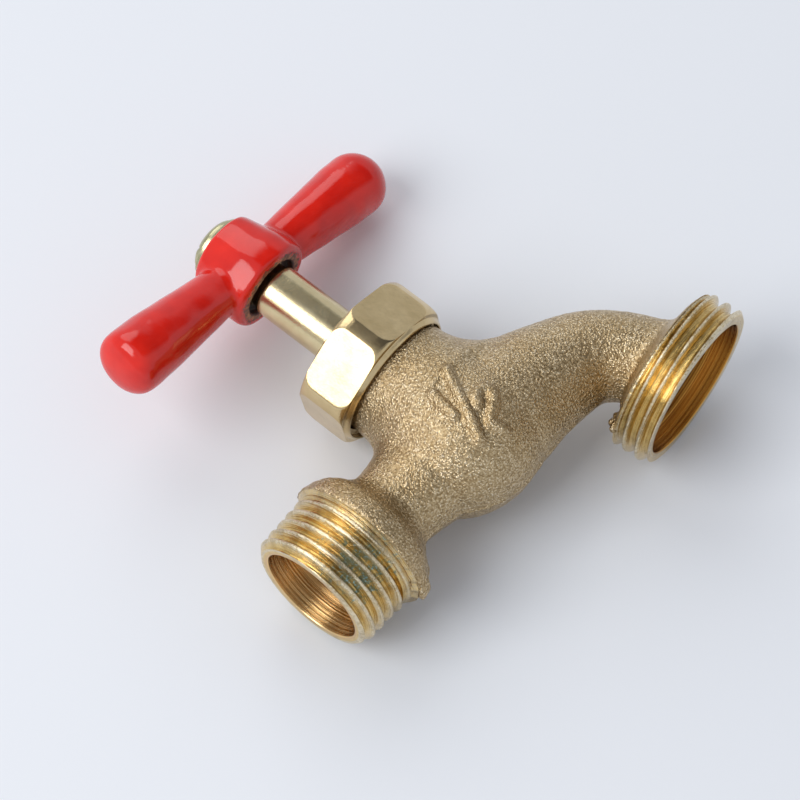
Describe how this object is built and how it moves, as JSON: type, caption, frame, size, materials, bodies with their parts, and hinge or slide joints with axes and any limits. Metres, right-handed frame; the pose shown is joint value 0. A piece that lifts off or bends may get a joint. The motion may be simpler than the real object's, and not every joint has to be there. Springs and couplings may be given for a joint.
{
  "type": "hose bib",
  "caption": "Garden tap with a threaded pipe inlet, a curved spout with a hose thread, a hexagonal cap nut and a two-armed handle on a rising stem.",
  "frame": {"origin": "centre of the inlet's end face, on the inlet's axis", "axes": "+X along the inlet's axis into the body, towards the spout; +Z along the stem's axis, up to the handle; Y completes the right-handed frame, and the casting is symmetrical about Y = 0"},
  "size_m": [0.076, 0.027, 0.0728],
  "materials": {
    "cast_brass": "sand-cast",
    "turned_brass": "turned",
    "packing": "moulded ring",
    "rubber": "moulded",
    "enamel": "gloss enamel",
    "plated": "zinc plated"
  },
  "bodies": {
    "valve": {"body": "cast_brass", "cap_nut": "turned_brass", "packing": "packing", "gland_washer": "turned_brass"},
    "disc": {"seat_washer": "rubber"},
    "stem": {"stem": "turned_brass", "seat_screw": "turned_brass", "handle": "enamel", "handle_washer": "plated", "handle_screw": "plated"}
  },
  "joints": [
    {"name": "stem_lift", "type": "slide", "parent": "valve", "child": "disc", "axis": [0, 0, 1], "range_m": [-0.005, 0.0008]},
    {"name": "handle_turn", "type": "hinge", "parent": "disc", "child": "stem", "pos_m": [0.0346, 0, 0.03], "axis": [0, 0, 1], "range_deg": [-900, 144]}
  ],
  "couplings": [
    {"joint": "stem_lift", "follows": "handle_turn", "m_per_rad": 0.0003183}
  ]
}
